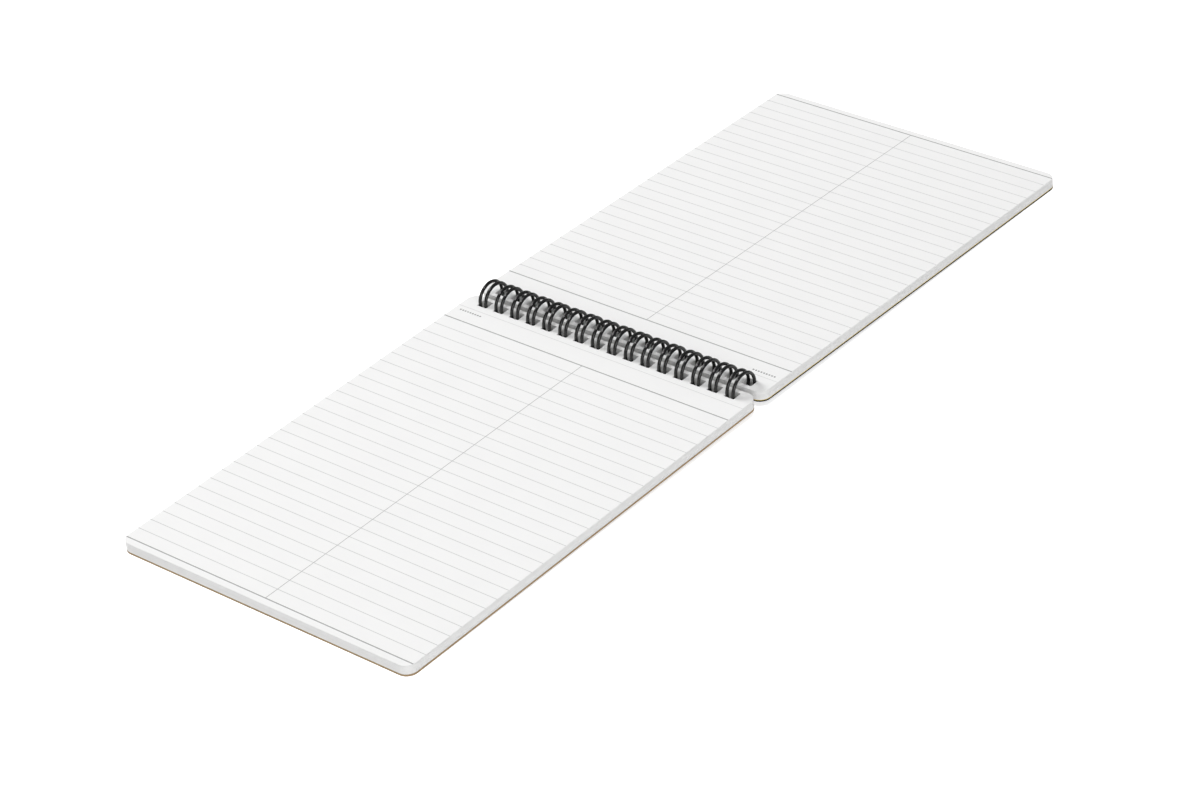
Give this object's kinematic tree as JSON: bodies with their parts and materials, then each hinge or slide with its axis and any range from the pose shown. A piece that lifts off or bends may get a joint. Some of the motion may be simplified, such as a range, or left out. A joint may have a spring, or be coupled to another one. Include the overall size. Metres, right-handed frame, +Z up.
{
  "type": "spiral notebook",
  "caption": "Ruled notepad lying open, its punched page stacks and board covers turning about a black twin-loop wire binding.",
  "frame": {"origin": "on the table, under the middle of the binding, halfway between the outer edges of the two halves", "axes": "+X along the binding, +Y towards the half that lies on the opened front cover, +Z up"},
  "size_m": [0.146, 0.4088, 0.015],
  "materials": {
    "kraft_board": "matt kraft-brown board, uncoated",
    "black_board": "board, satin black outside with a pale yellow inner face",
    "ruled_paper": "matt white writing paper with fine grey ruled lines",
    "coated_wire": "steel wire with a glossy black nylon coat"
  },
  "bodies": {
    "back_cover": {"back_cover": "kraft_board"},
    "remaining_pages": {"remaining_pages": "ruled_paper"},
    "front_cover": {"front_cover": "black_board"},
    "turned_pages": {"turned_pages": "ruled_paper"},
    "binding_wire": {"binding_wire": "coated_wire"}
  },
  "joints": [
    {"name": "front_cover_turn", "type": "hinge", "parent": "back_cover", "child": "front_cover", "pos_m": [0, 0, 0.00755], "axis": [1, 0, 0], "range_deg": [-18, 181.4]},
    {"name": "turned_pages_turn", "type": "hinge", "parent": "front_cover", "child": "turned_pages", "pos_m": [0, 0, 0.00755], "axis": [1, 0, 0], "range_deg": [0, 178.5]},
    {"name": "remaining_pages_turn", "type": "hinge", "parent": "back_cover", "child": "remaining_pages", "pos_m": [0, 0, 0.00755], "axis": [1, 0, 0], "range_deg": [-181.4, 0]},
    {"name": "binding_wire_roll", "type": "hinge", "parent": "back_cover", "child": "binding_wire", "pos_m": [0, 0, 0.00755], "axis": [1, 0, 0], "range_deg": [-12, 12]}
  ]
}
